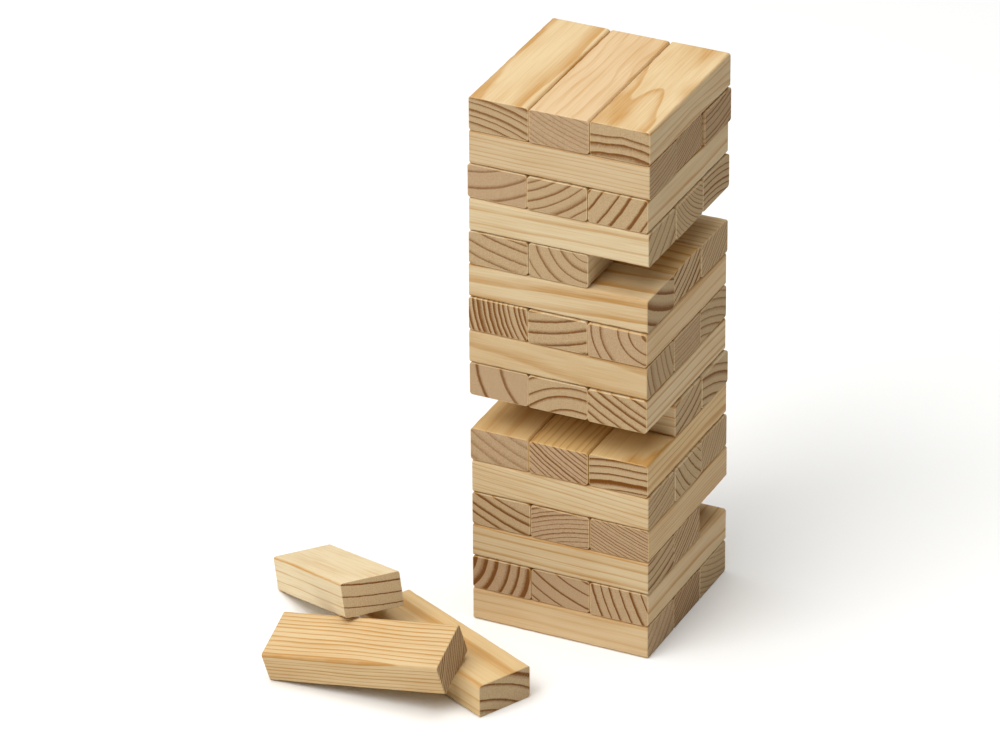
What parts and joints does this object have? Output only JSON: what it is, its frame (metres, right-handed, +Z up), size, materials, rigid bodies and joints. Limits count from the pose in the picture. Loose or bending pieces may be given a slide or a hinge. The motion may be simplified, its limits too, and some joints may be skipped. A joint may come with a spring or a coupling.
{
  "type": "giant tumbling tower",
  "caption": "Tower of planed pine blocks in crosswise levels, part way through a game, with vacated slots and a small pile of pulled-out blocks at its foot.",
  "frame": {"origin": "middle of the tower's footprint on the ground, under the middle block of the bottom level", "axes": "+Z up; +X to the right along the front face, the way the odd levels' blocks run; +Y to the back, the way the even levels' blocks run; the pile lies in front and to the left"},
  "size_m": [0.3156, 0.3085, 0.4573],
  "materials": {
    "pine": "planed bare pine, satin"
  },
  "bodies": {
    "level_01_front": {"level_01_front": "pine"},
    "level_01_middle": {"level_01_middle": "pine"},
    "level_01_back": {"level_01_back": "pine"},
    "level_02_left": {"level_02_left": "pine"},
    "level_02_middle": {"level_02_middle": "pine"},
    "level_02_right": {"level_02_right": "pine"},
    "level_03_front": {"level_03_front": "pine"},
    "level_03_middle": {"level_03_middle": "pine"},
    "level_04_left": {"level_04_left": "pine"},
    "level_04_middle": {"level_04_middle": "pine"},
    "level_04_right": {"level_04_right": "pine"},
    "level_05_front": {"level_05_front": "pine"},
    "level_05_middle": {"level_05_middle": "pine"},
    "level_05_back": {"level_05_back": "pine"},
    "level_06_left": {"level_06_left": "pine"},
    "level_06_middle": {"level_06_middle": "pine"},
    "level_06_right": {"level_06_right": "pine"},
    "level_07_middle": {"level_07_middle": "pine"},
    "level_07_back": {"level_07_back": "pine"},
    "level_08_left": {"level_08_left": "pine"},
    "level_08_middle": {"level_08_middle": "pine"},
    "level_08_right": {"level_08_right": "pine"},
    "level_09_front": {"level_09_front": "pine"},
    "level_09_middle": {"level_09_middle": "pine"},
    "level_09_back": {"level_09_back": "pine"},
    "level_10_left": {"level_10_left": "pine"},
    "level_10_middle": {"level_10_middle": "pine"},
    "level_10_right": {"level_10_right": "pine"},
    "level_11_front": {"level_11_front": "pine"},
    "level_11_middle": {"level_11_middle": "pine"},
    "level_11_back": {"level_11_back": "pine"},
    "level_12_left": {"level_12_left": "pine"},
    "level_12_middle": {"level_12_middle": "pine"},
    "level_13_front": {"level_13_front": "pine"},
    "level_13_middle": {"level_13_middle": "pine"},
    "level_13_back": {"level_13_back": "pine"},
    "level_14_left": {"level_14_left": "pine"},
    "level_14_middle": {"level_14_middle": "pine"},
    "level_14_right": {"level_14_right": "pine"},
    "level_15_front": {"level_15_front": "pine"},
    "level_15_middle": {"level_15_middle": "pine"},
    "level_15_back": {"level_15_back": "pine"},
    "level_16_left": {"level_16_left": "pine"},
    "level_16_middle": {"level_16_middle": "pine"},
    "level_16_right": {"level_16_right": "pine"},
    "loose_block_flat": {"loose_block_flat": "pine"},
    "loose_block_leaning": {"loose_block_leaning": "pine"},
    "loose_block_top": {"loose_block_top": "pine"}
  },
  "joints": [
    {"name": "level_01_front_slide", "type": "slide", "parent": "level_01_middle", "child": "level_01_front", "axis": [1, 0, 0], "range_m": [-0.1, 0.15]},
    {"name": "level_01_back_slide", "type": "slide", "parent": "level_01_middle", "child": "level_01_back", "axis": [1, 0, 0], "range_m": [-0.15, 0.15]},
    {"name": "level_02_left_slide", "type": "slide", "parent": "level_01_middle", "child": "level_02_left", "axis": [0, 1, 0], "range_m": [-0.09, 0.15]},
    {"name": "level_02_middle_slide", "type": "slide", "parent": "level_01_middle", "child": "level_02_middle", "axis": [0, 1, 0], "range_m": [-0.09, 0.15]},
    {"name": "level_02_right_slide", "type": "slide", "parent": "level_01_middle", "child": "level_02_right", "axis": [0, 1, 0], "range_m": [-0.15, 0.15]},
    {"name": "level_03_front_slide", "type": "slide", "parent": "level_01_middle", "child": "level_03_front", "axis": [1, 0, 0], "range_m": [-0.15, 0.15]},
    {"name": "level_03_middle_slide", "type": "slide", "parent": "level_01_middle", "child": "level_03_middle", "axis": [1, 0, 0], "range_m": [-0.15, 0.15]},
    {"name": "level_04_left_slide", "type": "slide", "parent": "level_01_middle", "child": "level_04_left", "axis": [0, 1, 0], "range_m": [-0.15, 0.15]},
    {"name": "level_04_middle_slide", "type": "slide", "parent": "level_01_middle", "child": "level_04_middle", "axis": [0, 1, 0], "range_m": [-0.15, 0.15]},
    {"name": "level_04_right_slide", "type": "slide", "parent": "level_01_middle", "child": "level_04_right", "axis": [0, 1, 0], "range_m": [-0.15, 0.15]},
    {"name": "level_05_front_slide", "type": "slide", "parent": "level_01_middle", "child": "level_05_front", "axis": [1, 0, 0], "range_m": [-0.15, 0.15]},
    {"name": "level_05_middle_slide", "type": "slide", "parent": "level_01_middle", "child": "level_05_middle", "axis": [1, 0, 0], "range_m": [-0.15, 0.15]},
    {"name": "level_05_back_slide", "type": "slide", "parent": "level_01_middle", "child": "level_05_back", "axis": [1, 0, 0], "range_m": [-0.15, 0.15]},
    {"name": "level_06_left_slide", "type": "slide", "parent": "level_01_middle", "child": "level_06_left", "axis": [0, 1, 0], "range_m": [-0.15, 0.15]},
    {"name": "level_06_middle_slide", "type": "slide", "parent": "level_01_middle", "child": "level_06_middle", "axis": [0, 1, 0], "range_m": [-0.15, 0.15]},
    {"name": "level_06_right_slide", "type": "slide", "parent": "level_01_middle", "child": "level_06_right", "axis": [0, 1, 0], "range_m": [-0.15, 0.15]},
    {"name": "level_07_middle_slide", "type": "slide", "parent": "level_01_middle", "child": "level_07_middle", "axis": [1, 0, 0], "range_m": [-0.15, 0.15]},
    {"name": "level_07_back_slide", "type": "slide", "parent": "level_01_middle", "child": "level_07_back", "axis": [1, 0, 0], "range_m": [-0.15, 0.15]},
    {"name": "level_08_left_slide", "type": "slide", "parent": "level_01_middle", "child": "level_08_left", "axis": [0, 1, 0], "range_m": [-0.15, 0.15]},
    {"name": "level_08_middle_slide", "type": "slide", "parent": "level_01_middle", "child": "level_08_middle", "axis": [0, 1, 0], "range_m": [-0.15, 0.15]},
    {"name": "level_08_right_slide", "type": "slide", "parent": "level_01_middle", "child": "level_08_right", "axis": [0, 1, 0], "range_m": [-0.15, 0.15]},
    {"name": "level_09_front_slide", "type": "slide", "parent": "level_01_middle", "child": "level_09_front", "axis": [1, 0, 0], "range_m": [-0.15, 0.15]},
    {"name": "level_09_middle_slide", "type": "slide", "parent": "level_01_middle", "child": "level_09_middle", "axis": [1, 0, 0], "range_m": [-0.15, 0.15]},
    {"name": "level_09_back_slide", "type": "slide", "parent": "level_01_middle", "child": "level_09_back", "axis": [1, 0, 0], "range_m": [-0.15, 0.15]},
    {"name": "level_10_left_slide", "type": "slide", "parent": "level_01_middle", "child": "level_10_left", "axis": [0, 1, 0], "range_m": [-0.15, 0.15]},
    {"name": "level_10_middle_slide", "type": "slide", "parent": "level_01_middle", "child": "level_10_middle", "axis": [0, 1, 0], "range_m": [-0.15, 0.15]},
    {"name": "level_10_right_slide", "type": "slide", "parent": "level_01_middle", "child": "level_10_right", "axis": [0, 1, 0], "range_m": [-0.15, 0.15]},
    {"name": "level_11_front_slide", "type": "slide", "parent": "level_01_middle", "child": "level_11_front", "axis": [1, 0, 0], "range_m": [-0.15, 0.15]},
    {"name": "level_11_middle_slide", "type": "slide", "parent": "level_01_middle", "child": "level_11_middle", "axis": [1, 0, 0], "range_m": [-0.15, 0.15]},
    {"name": "level_11_back_slide", "type": "slide", "parent": "level_01_middle", "child": "level_11_back", "axis": [1, 0, 0], "range_m": [-0.15, 0.15]},
    {"name": "level_12_left_slide", "type": "slide", "parent": "level_01_middle", "child": "level_12_left", "axis": [0, 1, 0], "range_m": [-0.15, 0.15]},
    {"name": "level_12_middle_slide", "type": "slide", "parent": "level_01_middle", "child": "level_12_middle", "axis": [0, 1, 0], "range_m": [-0.15, 0.15]},
    {"name": "level_13_front_slide", "type": "slide", "parent": "level_01_middle", "child": "level_13_front", "axis": [1, 0, 0], "range_m": [-0.15, 0.15]},
    {"name": "level_13_middle_slide", "type": "slide", "parent": "level_01_middle", "child": "level_13_middle", "axis": [1, 0, 0], "range_m": [-0.15, 0.15]},
    {"name": "level_13_back_slide", "type": "slide", "parent": "level_01_middle", "child": "level_13_back", "axis": [1, 0, 0], "range_m": [-0.15, 0.15]},
    {"name": "level_14_left_slide", "type": "slide", "parent": "level_01_middle", "child": "level_14_left", "axis": [0, 1, 0], "range_m": [-0.15, 0.15]},
    {"name": "level_14_middle_slide", "type": "slide", "parent": "level_01_middle", "child": "level_14_middle", "axis": [0, 1, 0], "range_m": [-0.15, 0.15]},
    {"name": "level_14_right_slide", "type": "slide", "parent": "level_01_middle", "child": "level_14_right", "axis": [0, 1, 0], "range_m": [-0.15, 0.15]},
    {"name": "level_15_front_slide", "type": "slide", "parent": "level_01_middle", "child": "level_15_front", "axis": [1, 0, 0], "range_m": [-0.15, 0.15]},
    {"name": "level_15_middle_slide", "type": "slide", "parent": "level_01_middle", "child": "level_15_middle", "axis": [1, 0, 0], "range_m": [-0.15, 0.15]},
    {"name": "level_15_back_slide", "type": "slide", "parent": "level_01_middle", "child": "level_15_back", "axis": [1, 0, 0], "range_m": [-0.15, 0.15]},
    {"name": "level_16_left_slide", "type": "slide", "parent": "level_01_middle", "child": "level_16_left", "axis": [0, 1, 0], "range_m": [-0.15, 0.15]},
    {"name": "level_16_middle_slide", "type": "slide", "parent": "level_01_middle", "child": "level_16_middle", "axis": [0, 1, 0], "range_m": [-0.15, 0.15]},
    {"name": "level_16_right_slide", "type": "slide", "parent": "level_01_middle", "child": "level_16_right", "axis": [0, 1, 0], "range_m": [-0.15, 0.15]},
    {"name": "loose_block_flat_slide", "type": "slide", "parent": "level_01_middle", "child": "loose_block_flat", "axis": [0.8973, -0.4415, 0], "range_m": [-0.005, 0.06]},
    {"name": "loose_block_leaning_slide", "type": "slide", "parent": "level_01_middle", "child": "loose_block_leaning", "axis": [0.9886, 0.032, 0.147], "range_m": [0, 0.06]},
    {"name": "loose_block_top_slide", "type": "slide", "parent": "level_01_middle", "child": "loose_block_top", "axis": [0.7064, -0.6206, 0.3403], "range_m": [0, 0.06]}
  ]
}
